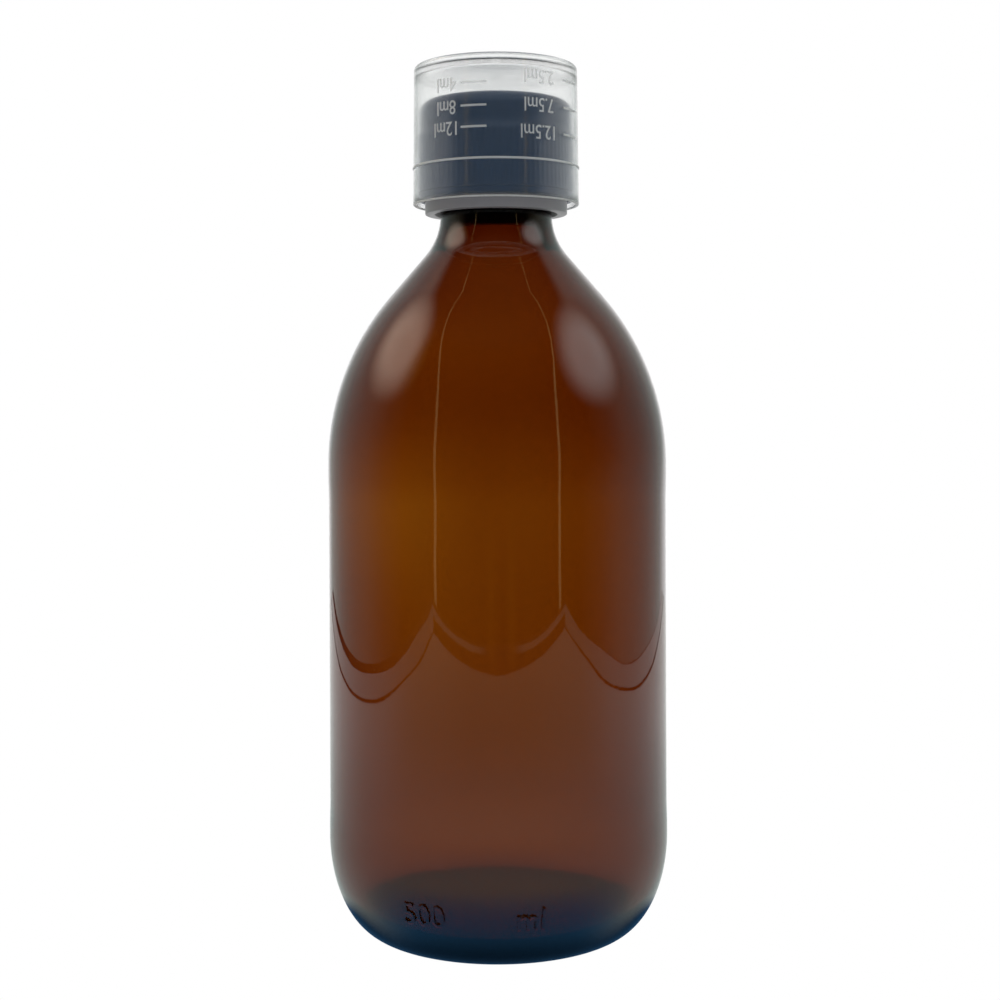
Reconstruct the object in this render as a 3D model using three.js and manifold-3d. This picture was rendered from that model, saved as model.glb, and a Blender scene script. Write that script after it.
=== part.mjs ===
// A 500 ml amber glass syrup bottle with a two-shell push-and-turn closure, the tamper ring that stays
// on its neck, and a clear measuring cup pushed upside down over the closure.
// Millimetres, +Z up. The origin is the centre of the bottle's foot, on the surface it stands on,
// and every piece is turned about the Z axis.

import * as THREE from "three";
import { mergeVertices, toCreasedNormals } from "three/addons/utils/BufferGeometryUtils.js";
import Module from "manifold-3d";

const wasm = await Module();
wasm.setup();

// Fineness of the round surfaces
const facets = 48;
const threadStepsPerTurn = 36;
const creaseAngle = 0.55;
const weldDistance = 1e-4;

// Glass bottle, outside
const bodyRadius = 38.25;
const footRadius = 25.9;
const footRingWidth = 3.4;
const pushUp = 2.6;
const heelHeight = 22.3;
const bodyTop = 105.3;
const panelDepth = 0.12;
const panelStep = 6;
const panelAboveHeel = 1.7;
const panelBelowShoulder = 2.3;
const shoulderRadius = 57.8;
const shoulderAngle = 0.71;
const neckBlendRadius = 14.55;
const neckRadius = 12.63;

// Glass bottle, inside
const wall = 2.5;
const baseThickness = 3.4;
const innerFootOutset = 2.6;
const boreRadius = 9;

// Neck finish: bead under the tamper ring, thread and lip
const finishHeight = 20.1;
const beadBelowLip = 18;
const beadFace = 0.8;
const beadDepth = 1.57;
const lipRadius = 0.9;
const threadDepth = 1.07;
const threadRootWidth = 1.8;
const threadCrestWidth = 0.9;
const threadPitch = 3.2;
const threadTurns = 1.5;
const threadBelowLip = 2.2;
const threadFade = 0.7;
const threadEmbed = 0.35;

// Tamper ring
const ringClearance = 0.4;
const ringWall = 1.5;
const ringHeight = 4.5;
const ringHookHeight = 1.8;
const ringHookGap = 0.4;
const ringHookClearance = 0.6;
const bridgeCount = 12;
const bridgeAngle = 0.075;
const bridgeHeight = 0.3;
const bridgeWidth = 0.7;
const tearGap = 0.6;

// Liner and inner cap
const seatGap = 0.3;
const linerThickness = 1;
const linerClearance = 0.6;
const threadClearance = 0.3;
const capThreadDepth = 1;
const capThreadDrop = 1.54;
const capThreadTurns = 1.2;
const innerCapWall = 1.3;
const innerCapCeiling = 1.2;
const innerCapCorner = 0.8;
const ridgeAboveSkirt = 2.3;
const ridgeHeight = 1.2;
const ridgeDepth = 0.65;

// Drive lugs on the inner cap's crown and the dogs that drop between them when the shell is pushed
const lugCount = 8;
const lugAngle = 0.3;
const lugInnerRadius = 7;
const lugOuterRadius = 12.8;
const lugHeight = 0.5;
const dogHeight = 0.6;
const dogClearance = 0.3;
const dogAngle = 0.22;

// Outer shell of the closure
const shellClearance = 0.5;
const shellWall = 1.25;
const shellSkirtDrop = 2;
const shellCrown = 1.1;
const shellCorner = 2.8;
const gripHeight = 14.4;
const gripTaper = 0.2;
const gripStep = 0.35;
const gripStepHeight = 0.6;
const shellHookGap = 0.4;
const shellHookHeight = 1.2;
const shellHookClearance = 0.35;

// Measuring cup, upside down over the closure
const cupClearance = 0.3;
const cupWall = 0.8;
const cupTaper = 0.3;
const cupDepth = 28.9;
const cupHeadroom = 5.4;
const cupFloor = 1.1;
const cupFootHeight = 1.4;
const cupFootWidth = 1.5;
const cupCorner = 1;
const cupRimRadius = 0.35;
const cupRingDepth = 20.5;
const cupRingHeight = 0.5;
const markHeight = 0.2;
const markWidth = 0.45;
const markSweep = 0.31;
const markEmbed = 0.3;
const leftScale = { angle: -1.99, depths: [4.1, 9.1, 13.7] };
const rightScale = { angle: -0.64, depths: [2.5, 8.6, 14.5] };

// Points along a circle or an ellipse about (centreRadius, centreHeight), from one angle to another
function arc(centreRadius, centreHeight, across, up, from, to, steps) {
  const points = [];
  for (let i = 0; i <= steps; i += 1) {
    const angle = from + ((to - from) * i) / steps;
    const radius = centreRadius + across * Math.cos(angle);
    points.push(new THREE.Vector2(radius, centreHeight + up * Math.sin(angle)));
  }
  return points;
}

function at(radius, height) {
  return new THREE.Vector2(radius, height);
}

// A solid of revolution about +Z from a section that starts and ends on the axis or closes on itself
function turned(section) {
  const geometry = new THREE.LatheGeometry(section, facets);
  geometry.rotateX(Math.PI / 2);
  return asSolid(geometry);
}

// A bar whose section (x out from the axis, y up) is carried round the axis through an angle. It climbs
// evenly by rise, and where fade is given its height over the root radius grows and dies over that angle.
function carriedRound(section, { from, sweep, steps, rise = 0, fade = 0, root = 0, side = 1 }) {
  const bar = new THREE.ExtrudeGeometry(section, { depth: sweep, steps, bevelEnabled: false });
  const corner = bar.attributes.position;
  for (let i = 0; i < corner.count; i += 1) {
    const along = sweep - corner.getZ(i);
    const strength = fade > 0 ? Math.min(1, along / fade, (sweep - along) / fade) : 1;
    const over = corner.getX(i) - root;
    const radius = over * side > 0 ? root + over * strength : corner.getX(i);
    const height = corner.getY(i) + (rise * along) / sweep;
    corner.setXYZ(i, radius * Math.cos(from + along), radius * Math.sin(from + along), height);
  }
  return asSolid(bar);
}

function rectangle(inner, outer, bottom, top) {
  return new THREE.Shape([at(inner, bottom), at(outer, bottom), at(outer, top), at(inner, top)]);
}

// The thread's section: a trapezium from the root to the crest radius, sunk a little into its wall
function threadSection(root, crest, height) {
  const sunk = root - Math.sign(crest - root) * threadEmbed;
  const half = threadRootWidth / 2;
  const halfCrest = threadCrestWidth / 2;
  return new THREE.Shape([
    at(sunk, height - half),
    at(root, height - half),
    at(crest, height - halfCrest),
    at(crest, height + halfCrest),
    at(root, height + half),
    at(sunk, height + half),
  ]);
}

function thread(root, crest, startHeight, turns) {
  return carriedRound(threadSection(root, crest, startHeight), {
    from: 0,
    sweep: 2 * Math.PI * turns,
    steps: Math.round(threadStepsPerTurn * turns),
    rise: threadPitch * turns,
    fade: threadFade,
    root,
    side: Math.sign(crest - root),
  });
}

function asSolid(geometry) {
  const bare = geometry.clone();
  bare.deleteAttribute("normal");
  bare.deleteAttribute("uv");
  const welded = mergeVertices(bare, weldDistance);
  const corners = welded.index.array;
  const triangles = [];
  for (let i = 0; i < corners.length; i += 3) {
    const [a, b, c] = [corners[i], corners[i + 1], corners[i + 2]];
    if (a !== b && b !== c && c !== a) triangles.push(a, b, c);
  }
  const mesh = new wasm.Mesh({
    numProp: 3,
    vertProperties: welded.attributes.position.array,
    triVerts: new Uint32Array(triangles),
  });
  return new wasm.Manifold(mesh);
}

function asMesh(name, solid, material) {
  const shell = solid.getMesh();
  const geometry = new THREE.BufferGeometry();
  geometry.setAttribute("position", new THREE.BufferAttribute(shell.vertProperties, 3));
  geometry.setIndex(new THREE.BufferAttribute(shell.triVerts, 1));
  const mesh = new THREE.Mesh(toCreasedNormals(geometry, creaseAngle), material);
  mesh.name = name;
  return mesh;
}

// Heights of the bottle that everything above it follows
const shoulderSin = Math.sin(shoulderAngle);
const shoulderCos = Math.cos(shoulderAngle);
const shoulderTopRadius = bodyRadius - shoulderRadius * (1 - shoulderCos);
const shoulderTopHeight = bodyTop + shoulderRadius * shoulderSin;
const coneTopRadius = neckRadius + neckBlendRadius * (1 - shoulderCos);
const coneLength = (shoulderTopRadius - coneTopRadius) / shoulderSin;
const coneTopHeight = shoulderTopHeight + coneLength * shoulderCos;
const neckFoot = coneTopHeight + neckBlendRadius * shoulderSin;
const finishTop = neckFoot + finishHeight;
const beadRadius = neckRadius + beadDepth;
const beadBottom = finishTop - beadBelowLip;
const threadCrest = neckRadius + threadDepth;
const threadStart = finishTop - threadBelowLip - threadPitch * threadTurns;

// Bottle: blown glass in one piece, with a pushed-up base, a shallow label panel and a moulded finish
function bottle() {
  const quarter = Math.PI / 2;
  const footInner = footRadius - footRingWidth;
  const panelRadius = bodyRadius - panelDepth;
  const panelBottom = heelHeight + panelAboveHeel;
  const panelTop = bodyTop - panelBelowShoulder;
  const beadTop = beadBottom + beadFace + beadDepth;

  const base = [0, 0.4, 0.7, 0.9, 1].map((t) => at(footInner * t, pushUp * (1 - t * t)));
  const heel = arc(footRadius, heelHeight, bodyRadius - footRadius, heelHeight, -quarter, 0, 7);
  const panel = [
    at(bodyRadius, panelBottom),
    at(panelRadius, panelBottom + panelStep),
    at(panelRadius, panelTop - panelStep),
    at(bodyRadius, panelTop),
  ];
  const shoulder = arc(
    bodyRadius - shoulderRadius, bodyTop, shoulderRadius, shoulderRadius, 0, shoulderAngle, 8,
  );
  const neckBlend = arc(
    neckRadius + neckBlendRadius, neckFoot, neckBlendRadius, neckBlendRadius,
    Math.PI + shoulderAngle, Math.PI, 4,
  );
  const bead = [
    at(neckRadius, beadBottom),
    at(beadRadius, beadBottom),
    at(beadRadius, beadBottom + beadFace),
    at(neckRadius, beadTop),
  ];
  const lip = arc(neckRadius - lipRadius, finishTop - lipRadius, lipRadius, lipRadius, 0, quarter, 3);
  const mouth = arc(boreRadius + lipRadius, finishTop - lipRadius, lipRadius, lipRadius, quarter, Math.PI, 3);

  const innerRadius = bodyRadius - wall;
  const innerFoot = footRadius + innerFootOutset;
  const floorHeight = pushUp + baseThickness;
  const innerBlend = neckBlendRadius + wall;
  const innerShoulder = shoulderRadius - wall;
  const innerShoulderTop = shoulderTopRadius - wall * shoulderCos;
  const innerConeTop = boreRadius + innerBlend * (1 - shoulderCos);
  const innerConeLength = (innerShoulderTop - innerConeTop) / shoulderSin;
  const innerNeckFoot = shoulderTopHeight - wall * shoulderSin
    + innerConeLength * shoulderCos + innerBlend * shoulderSin;
  const boreBlend = arc(
    boreRadius + innerBlend, innerNeckFoot, innerBlend, innerBlend, Math.PI, Math.PI + shoulderAngle, 4,
  );
  const innerArc = arc(
    bodyRadius - shoulderRadius, bodyTop, innerShoulder, innerShoulder, shoulderAngle, 0, 7,
  );
  const innerHeel = arc(
    innerFoot, heelHeight, innerRadius - innerFoot, heelHeight - floorHeight, 0, -quarter, 6,
  );

  const glass = turned([
    ...base, ...heel, ...panel, ...shoulder, ...neckBlend, ...bead, ...lip,
    ...mouth, ...boreBlend, ...innerArc, ...innerHeel, at(0, floorHeight),
  ]);
  return glass.add(thread(neckRadius, threadCrest, threadStart, threadTurns));
}

// Tamper ring: torn from the inner cap at its bridges, it stays on the neck, hooked under the bead
const ringInner = beadRadius + ringClearance;
const ringOuter = ringInner + ringWall;
const ringBottom = beadBottom - ringHookGap - ringHookHeight;
const ringTop = ringBottom + ringHeight;

function tamperRing() {
  const hookRadius = neckRadius + ringHookClearance;
  const bevel = ringInner - hookRadius;
  const ring = turned([
    at(ringOuter, ringBottom),
    at(ringOuter, ringTop),
    at(ringInner, ringTop),
    at(ringInner, ringBottom + ringHookHeight),
    at(hookRadius, ringBottom + ringHookHeight),
    at(hookRadius + bevel / 2, ringBottom),
    at(ringOuter, ringBottom),
  ]);
  const middle = (ringInner + ringOuter) / 2;
  const section = rectangle(
    middle - bridgeWidth / 2, middle + bridgeWidth / 2, ringTop - bridgeHeight, ringTop + bridgeHeight,
  );
  let solid = ring;
  for (let i = 0; i < bridgeCount; i += 1) {
    const from = (2 * Math.PI * i) / bridgeCount - bridgeAngle / 2;
    solid = solid.add(carriedRound(section, { from, sweep: bridgeAngle, steps: 1 }));
  }
  return solid;
}

// Liner: a foam wad that seals the mouth
const linerBottom = finishTop + seatGap;
const ceilingUnderside = linerBottom + linerThickness + seatGap;
const innerCapBore = threadCrest + threadClearance;

function liner() {
  const radius = innerCapBore - linerClearance;
  return turned([
    at(0, linerBottom),
    at(radius, linerBottom),
    at(radius, linerBottom + linerThickness),
    at(0, linerBottom + linerThickness),
  ]);
}

// Inner cap: threaded inside, with a ridge outside that holds the shell and lugs on its crown
const skirtBottom = ringTop + tearGap;
const innerCapRadius = innerCapBore + innerCapWall;
const innerCapTop = ceilingUnderside + innerCapCeiling;
const ridgeRadius = innerCapRadius + ridgeDepth;
const ridgeBottom = skirtBottom + ridgeAboveSkirt;

function innerCap() {
  const body = turned([
    at(0, ceilingUnderside),
    at(innerCapBore, ceilingUnderside),
    at(innerCapBore, skirtBottom),
    at(innerCapRadius, skirtBottom),
    at(innerCapRadius, ridgeBottom),
    at(ridgeRadius, ridgeBottom),
    at(ridgeRadius, ridgeBottom + ridgeHeight - ridgeDepth),
    at(innerCapRadius, ridgeBottom + ridgeHeight),
    at(innerCapRadius, innerCapTop - innerCapCorner),
    at(innerCapRadius - innerCapCorner, innerCapTop),
    at(0, innerCapTop),
  ]);
  const crest = innerCapBore - capThreadDepth;
  let solid = body.add(thread(innerCapBore, crest, threadStart - capThreadDrop, capThreadTurns));
  const lug = rectangle(lugInnerRadius, lugOuterRadius, innerCapTop - lugHeight, innerCapTop + lugHeight);
  for (let i = 0; i < lugCount; i += 1) {
    const from = (2 * Math.PI * i) / lugCount - lugAngle / 2;
    solid = solid.add(carriedRound(lug, { from, sweep: lugAngle, steps: 1 }));
  }
  return solid;
}

// Outer shell: snapped over the inner cap's ridge, it turns it only when pushed down. Its skirt hangs
// below the inner cap's and covers the top of the tamper ring.
const shellBore = ridgeRadius + shellClearance;
const shellRadius = shellBore + shellWall;
const shellBottom = skirtBottom - shellSkirtDrop;
const crownUnderside = innerCapTop + lugHeight + dogClearance + dogHeight;
const shellTop = crownUnderside + shellCrown;

function outerShell() {
  const gripTop = shellBottom + gripHeight;
  const gripTopRadius = shellRadius - gripTaper;
  const crownRadius = gripTopRadius - gripStep;
  const hookTop = ridgeBottom - shellHookGap;
  const hookRadius = innerCapRadius + shellHookClearance;
  const corner = arc(
    crownRadius - shellCorner, shellTop - shellCorner, shellCorner, shellCorner, 0, Math.PI / 2, 5,
  );
  const body = turned([
    at(0, crownUnderside),
    at(shellBore, crownUnderside),
    at(shellBore, hookTop),
    at(hookRadius, hookTop),
    at(hookRadius, hookTop - shellHookHeight / 2),
    at(shellBore, hookTop - shellHookHeight),
    at(shellBore, shellBottom),
    at(shellRadius, shellBottom),
    at(gripTopRadius, gripTop),
    at(crownRadius, gripTop + gripStepHeight),
    ...corner,
    at(0, shellTop),
  ]);
  const section = rectangle(
    lugInnerRadius, lugOuterRadius, crownUnderside - dogHeight, crownUnderside + dogHeight,
  );
  let solid = body;
  for (let i = 0; i < lugCount; i += 1) {
    const from = (2 * Math.PI * (i + 0.5)) / lugCount - dogAngle / 2;
    solid = solid.add(carriedRound(section, { from, sweep: dogAngle, steps: 1 }));
  }
  return solid;
}

// Measuring cup: thin clear walls, a foot rim round its floor, a moulded ring and two raised scales
const cupBore = shellRadius + cupClearance;
const cupFloorUnderside = shellTop + cupHeadroom;
const cupRim = cupFloorUnderside - cupDepth;

// The cup narrows from its rim to its foot, so its outside depends on the distance below its floor
function cupOutside(depth) {
  return cupBore + cupWall - cupTaper * (1 - depth / cupDepth);
}

function measuringCup() {
  const footTop = cupFloorUnderside + cupFloor + cupFootHeight;
  const footRadiusOutside = cupOutside(0);
  const rimOutside = cupOutside(cupDepth);
  const ringHeight = cupFloorUnderside - cupRingDepth;
  const ringRadius = cupOutside(cupRingDepth);
  const section = [
    at(0, cupFloorUnderside),
    at(footRadiusOutside - cupWall, cupFloorUnderside),
    at(rimOutside - cupWall, cupRim + cupRimRadius),
    ...arc(rimOutside - cupWall / 2, cupRim + cupRimRadius, cupWall / 2, cupRimRadius, -Math.PI * 0.8, 0, 4),
    at(ringRadius, ringHeight - cupRingHeight / 2),
    at(ringRadius + markHeight, ringHeight - cupRingHeight / 4),
    at(ringRadius + markHeight, ringHeight + cupRingHeight / 4),
    at(ringRadius, ringHeight + cupRingHeight / 2),
    ...arc(footRadiusOutside - cupCorner, footTop - cupCorner, cupCorner, cupCorner, 0, Math.PI / 2, 4),
    at(footRadiusOutside - cupFootWidth, footTop),
    at(footRadiusOutside - cupFootWidth, footTop - cupFootHeight),
    at(0, footTop - cupFootHeight),
  ];
  let solid = turned(section);
  for (const { angle, depths } of [leftScale, rightScale]) {
    for (const depth of depths) {
      const height = cupFloorUnderside - depth;
      const radius = cupOutside(depth);
      const mark = rectangle(
        radius - markEmbed, radius + markHeight, height - markWidth / 2, height + markWidth / 2,
      );
      solid = solid.add(carriedRound(mark, { from: angle, sweep: markSweep, steps: 4 }));
    }
  }
  return solid;
}

// Finishes
const amberGlass = new THREE.MeshStandardMaterial({
  color: 0x6e3408, roughness: 0.06, metalness: 0, transparent: true, opacity: 0.78,
});
const navyPlastic = new THREE.MeshStandardMaterial({ color: 0x2b3848, roughness: 0.4, metalness: 0 });
const innerPlastic = new THREE.MeshStandardMaterial({ color: 0x37424f, roughness: 0.45, metalness: 0 });
const greyPlastic = new THREE.MeshStandardMaterial({ color: 0x5b5b62, roughness: 0.45, metalness: 0 });
const linerFoam = new THREE.MeshStandardMaterial({ color: 0xf2f2ee, roughness: 0.8, metalness: 0 });
const clearPlastic = new THREE.MeshStandardMaterial({
  color: 0xeef1f2, roughness: 0.15, metalness: 0, transparent: true, opacity: 0.35,
});

// The bottle and its ring stand still, and the closure and the cup come off upwards
const group = new THREE.Group();
group.name = "syrup_bottle";
const closure = new THREE.Group();
closure.name = "closure";
closure.add(
  asMesh("liner", liner(), linerFoam),
  asMesh("inner_cap", innerCap(), innerPlastic),
  asMesh("outer_cap", outerShell(), navyPlastic),
  asMesh("measuring_cup", measuringCup(), clearPlastic),
);
group.add(
  asMesh("bottle", bottle(), amberGlass),
  asMesh("tamper_ring", tamperRing(), greyPlastic),
  closure,
);

export default group;
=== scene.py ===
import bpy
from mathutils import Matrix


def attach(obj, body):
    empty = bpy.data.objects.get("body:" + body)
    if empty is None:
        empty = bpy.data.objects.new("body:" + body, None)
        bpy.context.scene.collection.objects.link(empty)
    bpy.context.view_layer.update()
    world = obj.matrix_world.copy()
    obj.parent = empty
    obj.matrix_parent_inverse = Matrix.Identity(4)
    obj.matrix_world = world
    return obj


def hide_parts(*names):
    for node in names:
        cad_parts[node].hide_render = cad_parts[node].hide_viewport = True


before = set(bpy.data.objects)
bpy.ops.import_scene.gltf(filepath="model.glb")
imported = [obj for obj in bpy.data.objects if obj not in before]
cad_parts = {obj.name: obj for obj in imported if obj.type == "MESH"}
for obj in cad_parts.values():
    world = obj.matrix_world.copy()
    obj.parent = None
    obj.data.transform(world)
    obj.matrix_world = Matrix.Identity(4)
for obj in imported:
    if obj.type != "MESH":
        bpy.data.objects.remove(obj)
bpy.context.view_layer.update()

import math

import bmesh
import bpy
import numpy as np
from mathutils import Vector

# Camera. The photograph was taken level, from about 400 mm in front of the bottle's axis, with the eye
# beside the shoulder. Most of its framing is lens shift, and the rest is a slight tilt.
PHOTO_WIDTH = 1000
FOCAL_PIXELS = 1678
EYE = (0.0007, -0.3817, 0.1188)
DOWN_TILT = math.radians(0.60)
ROLL = math.radians(0.233)
LENS_SHIFT = -0.078
camera_data = bpy.data.cameras.new("camera")
camera_data.sensor_width = 36
camera_data.lens = camera_data.sensor_width * FOCAL_PIXELS / PHOTO_WIDTH
camera_data.shift_y = LENS_SHIFT
camera_data.clip_start = 0.01
camera = bpy.data.objects.new("camera", camera_data)
camera.location = EYE
camera.rotation_euler = (math.pi / 2 - DOWN_TILT, ROLL, 0)
bpy.context.collection.objects.link(camera)
bpy.context.scene.camera = camera

# Light. The bottle stands in a white light tent: its side walls glow, two softboxes shine through them
# at shoulder height and above, and its front is open to a dark room.
scene = bpy.context.scene
scene.view_settings.view_transform = "Standard"


def feed(tree, value, socket):
    """Links the socket where value is another node's output, and sets it where value is plain."""
    if isinstance(value, bpy.types.NodeSocket):
        tree.links.new(value, socket)
    else:
        socket.default_value = value


def reckon(tree, operation, *values):
    """The result of a Math node on one, two or three values."""
    node = tree.nodes.new("ShaderNodeMath")
    node.operation = operation
    for value, socket in zip(values, node.inputs):
        feed(tree, value, socket)
    return node.outputs["Value"]


def span(tree, first, second):
    """The length of two values at right angles: the root of the sum of their squares."""
    squares = reckon(tree, "MULTIPLY_ADD", first, first, reckon(tree, "MULTIPLY", second, second))
    return reckon(tree, "SQRT", squares)


def rise(tree, value, low, high):
    """0 up to low and 1 from high on, with a soft step between. Where low is the larger, it falls."""
    node = tree.nodes.new("ShaderNodeMapRange")
    node.interpolation_type = "SMOOTHSTEP"
    feed(tree, value, node.inputs["Value"])
    for name, limit in (("From Min", low), ("From Max", high)):
        feed(tree, limit, node.inputs[name])
    return node.outputs["Result"]


def mixed(tree, factor, first, second):
    """The first colour where the factor is 0, and the second where it is 1."""
    node = tree.nodes.new("ShaderNodeMix")
    node.data_type = "RGBA"
    ends = {socket.name: socket for socket in node.inputs if socket.enabled}
    feed(tree, factor, ends["Factor"])
    feed(tree, first, ends["A"])
    feed(tree, second, ends["B"])
    return next(socket for socket in node.outputs if socket.enabled)


def ramp(tree, value, stops):
    """A colour that runs smoothly through the stops (place, red, green, blue)."""
    node = tree.nodes.new("ShaderNodeValToRGB")
    feed(tree, value, node.inputs["Fac"])
    elements = node.color_ramp.elements
    while len(elements) < len(stops):
        elements.new(1)
    for element, (place, *colour) in zip(elements, stops):
        element.position = place
        element.color = (*colour, 1)
    return node.outputs["Color"]


WHITE = (1, 1, 1, 1)
CEILING_DARK = (0.02, 0.02, 0.02, 1)
LEFT_SOFTBOX = (2.6, 2.1, 1.7, 1)
RIGHT_SOFTBOX = (1.75, 1.80, 1.75, 1)
WARM_EDGE = (1.2, 0.75, 0.15, 1)
FOLD_GLOW = (1.2, 0.85, 0.35, 1)
WALL_STOPS = [
    (0.36, 0.006, 0.006, 0.006),
    (0.45, 0.15, 0.13, 0.09),
    (0.54, 0.34, 0.33, 0.27),
    (0.72, 0.42, 0.48, 0.46),
    (0.84, 0.55, 0.62, 0.60),
    (0.90, 1.0, 1.0, 1.0),
]
LOW_REACH = 0.05
LOW_REACH_HEIGHTS = (math.radians(3), math.radians(-6))
CEILING_HEIGHTS = (math.radians(50), math.radians(58))
SIDE_BLEND = 0.1
SOFTBOX_AROUND = math.radians(98)
RIGHT_SOFTBOX_TURN = math.radians(-11)
SOFTBOX_UP = math.radians(38)
SOFTBOX_HALF_WIDTH = math.radians(27)
SOFTBOX_HALF_HEIGHT = math.radians(16)
SOFTBOX_FADE = (1.32, 0.45)
WARM_FADE = (-0.5, -1.2)
FOLD_AROUND = math.radians(41.5)
FOLD_LEAN = 0.45
FOLD_FADE = (math.radians(1.3), math.radians(0.4))
FOLD_FOOT = (math.radians(-9), math.radians(-6))
PLAIN_AROUND = (math.radians(50), math.radians(80))
PLAIN_UP = (math.radians(20), math.radians(45))
world = bpy.data.worlds.new("light_tent")
scene.world = world
world.use_nodes = True
tent = world.node_tree
tent.nodes.clear()
direction = tent.nodes.new("ShaderNodeTexCoord").outputs["Generated"]
split = tent.nodes.new("ShaderNodeSeparateXYZ")
tent.links.new(direction, split.inputs["Vector"])
side = reckon(tent, "ABSOLUTE", split.outputs["X"])
ahead = reckon(tent, "MULTIPLY", split.outputs["Y"], -1.0)
around_tent = reckon(tent, "ARCTAN2", side, ahead)
height_in_tent = reckon(tent, "ARCSINE", split.outputs["Z"])
on_right = rise(tent, split.outputs["X"], -SIDE_BLEND, SIDE_BLEND)

# The tent's walls, from the open front (0) round to the back (1). Low down on the right they reach a
# little further to the front.
reach = reckon(tent, "MULTIPLY", on_right, rise(tent, height_in_tent, *LOW_REACH_HEIGHTS))
share_round = reckon(tent, "MULTIPLY_ADD", reach, LOW_REACH, reckon(tent, "DIVIDE", around_tent, math.pi))
walls = ramp(tent, share_round, WALL_STOPS)
walls = mixed(tent, rise(tent, height_in_tent, *CEILING_HEIGHTS), walls, CEILING_DARK)

# A softbox on each side, an oval of light through the tent's wall, warmer towards the front
softbox_middle = reckon(tent, "MULTIPLY_ADD", on_right, RIGHT_SOFTBOX_TURN, SOFTBOX_AROUND)
off_side = reckon(tent, "DIVIDE", reckon(tent, "SUBTRACT", around_tent, softbox_middle), SOFTBOX_HALF_WIDTH)
off_height = reckon(tent, "SUBTRACT", height_in_tent, SOFTBOX_UP)
off_height = reckon(tent, "DIVIDE", off_height, SOFTBOX_HALF_HEIGHT)
off_middle = span(tent, off_side, off_height)
glow_colour = mixed(tent, on_right, LEFT_SOFTBOX, RIGHT_SOFTBOX)
warmth = reckon(tent, "MULTIPLY", rise(tent, off_side, *WARM_FADE), reckon(tent, "SUBTRACT", 1.0, on_right))
glow_colour = mixed(tent, warmth, glow_colour, WARM_EDGE)
walls = mixed(tent, rise(tent, off_middle, *SOFTBOX_FADE), walls, glow_colour)

# The bright fold along the tent's front opening, which leans back as it climbs
height_cubed = reckon(tent, "POWER", reckon(tent, "MAXIMUM", height_in_tent, 0.0), 3.0)
fold_around = reckon(tent, "MULTIPLY_ADD", height_cubed, FOLD_LEAN, FOLD_AROUND)
off_fold = reckon(tent, "ABSOLUTE", reckon(tent, "SUBTRACT", around_tent, fold_around))
fold = reckon(tent, "MULTIPLY", rise(tent, off_fold, *FOLD_FADE), rise(tent, height_in_tent, *FOLD_FOOT))
walls = mixed(tent, fold, walls, FOLD_GLOW)

# What the camera sees is plain white, and so is what shows through the clear parts from behind
rays = tent.nodes.new("ShaderNodeLightPath")
at_back, above = rise(tent, around_tent, *PLAIN_AROUND), rise(tent, height_in_tent, *PLAIN_UP)
behind = reckon(tent, "MAXIMUM", at_back, above)
plain = reckon(tent, "MULTIPLY", rays.outputs["Is Transmission Ray"], behind)
plain = reckon(tent, "MAXIMUM", rays.outputs["Is Camera Ray"], plain)
background = tent.nodes.new("ShaderNodeBackground")
world_output = tent.nodes.new("ShaderNodeOutputWorld")
tent.links.new(mixed(tent, plain, walls, WHITE), background.inputs["Color"])
tent.links.new(background.outputs["Background"], world_output.inputs["Surface"])


def softlight(name, place, aim, width, height, power):
    """A square lamp at place that faces aim, seen only by what it lights."""
    data = bpy.data.lights.new(name, "AREA")
    data.shape = "RECTANGLE"
    data.size = width
    data.size_y = height
    data.energy = power
    lamp = bpy.data.objects.new(name, data)
    lamp.location = place
    outward = Vector(place) - Vector(aim)
    lamp.rotation_euler = outward.to_track_quat("Z", "Y").to_euler()
    lamp.visible_camera = False
    lamp.visible_glossy = False
    lamp.visible_transmission = False
    bpy.context.collection.objects.link(lamp)


LAMP_POWER = 1.2
LAMP_WIDTH = 0.5
softlight("overhead_light", (0, -0.25, 0.9), (0, 0, 0.12), LAMP_WIDTH, LAMP_WIDTH, LAMP_POWER)
softlight("front_light", (0, -0.65, 0.40), (0, 0, 0.16), LAMP_WIDTH, 0.3, LAMP_POWER)

# Floor. A plain pale sheet in the tent, which narrows towards the back, with a painted lit rim past a
# painted dark gap at its front and sides. The camera sees it as white as the walls. To all but diffuse
# rays it glows with a painted picture of the lit sheet and its shade, and the glass mirrors its edges.
SHEET_HALF_WIDTH = 0.351
SHEET_SHIFT = 0.015
OUTER_HALF_WIDTH = 0.445
NARROWING = 0.087
SHEET_FRONT = -0.425
OUTER_FRONT = -0.520
OUTER_BACK = 0.600
# The painted dark gap and painted lit rim round the sheet, which the glass mirrors
SIDE_GAP = 0.009
FRONT_GAP = 0.049
EDGE = 0.004
RIM_END = 0.078
RIM_LIGHT = 0.75
CAMERA_GAP = (0.06, 0.13)
CAMERA_DEPTH = (0.40, 0.30)
SHEET_PALE = (0.75, 0.77, 0.80, 1)
SHEET_ROUGHNESS = 0.7
# Painted reflection of the lit sheet, darker towards the front
PAINTED_REFLECTION_STOPS = [
    (0.10, 0.36, 0.40, 0.29),
    (0.30, 0.50, 0.54, 0.42),
    (0.44, 0.78, 0.82, 0.76),
    (0.60, 0.92, 0.92, 0.90),
]
# Painted shade on the sheet beside the bottle's foot
PAINTED_SHADE_BESIDE_FOOT = (0.60, 0.66, 0.64, 1)
PAINTED_SHADE_BESIDE_FOOT_REACH = (0.32, 0.08)
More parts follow.
